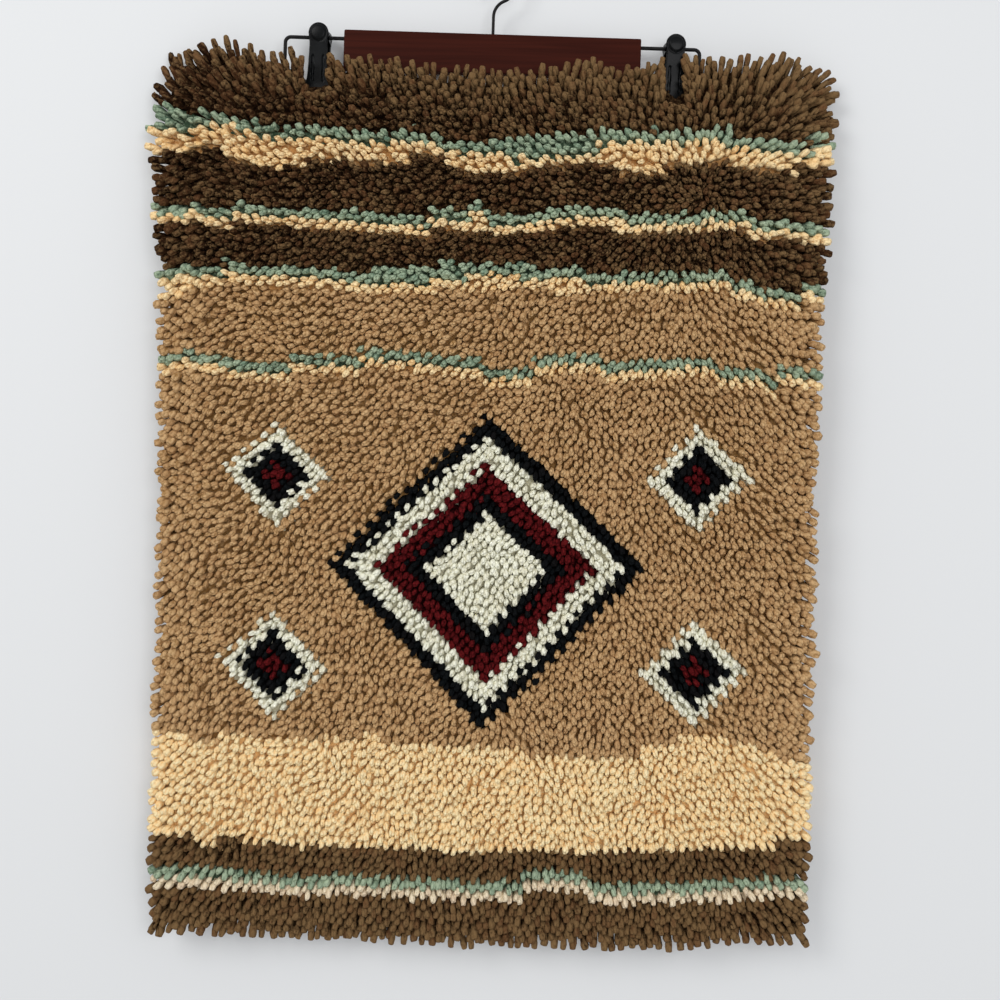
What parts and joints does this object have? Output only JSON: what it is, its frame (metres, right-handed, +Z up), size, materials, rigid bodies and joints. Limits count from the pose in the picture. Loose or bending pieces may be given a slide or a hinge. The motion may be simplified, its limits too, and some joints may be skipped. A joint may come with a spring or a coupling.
{
  "type": "latch hook wall hanging on a clip hanger",
  "caption": "Shaggy latch hooked yarn wall hanging with stripes and stepped diamonds, held by its top edge in the clips of a board and wire hanger.",
  "frame": {"origin": "the inner top of the hanger's hook, where a nail or peg carries it", "axes": "+Z up, the pile faces -Y, +X is to the right seen from the front"},
  "size_m": [0.5562, 0.0421, 0.8058],
  "materials": {
    "rug_yarn": "soft twisted rug yarn, cut pile",
    "rug_canvas": "stiff open cotton canvas",
    "painted_wood": "dark red-brown paint, slight sheen",
    "black_wire": "black enamelled wire",
    "black_plastic": "moulded, glossy",
    "spring_steel": "drawn wire"
  },
  "bodies": {
    "root": {"canvas": "rug_canvas", "pile": "rug_yarn", "board": "painted_wood", "arm_left": "black_wire", "arm_right": "black_wire", "hook": "black_wire", "clip_left_front": "black_plastic", "clip_left_back": "black_plastic", "clip_left_spring": "spring_steel", "clip_right_front": "black_plastic", "clip_right_back": "black_plastic", "clip_right_spring": "spring_steel"}
  },
  "joints": []
}
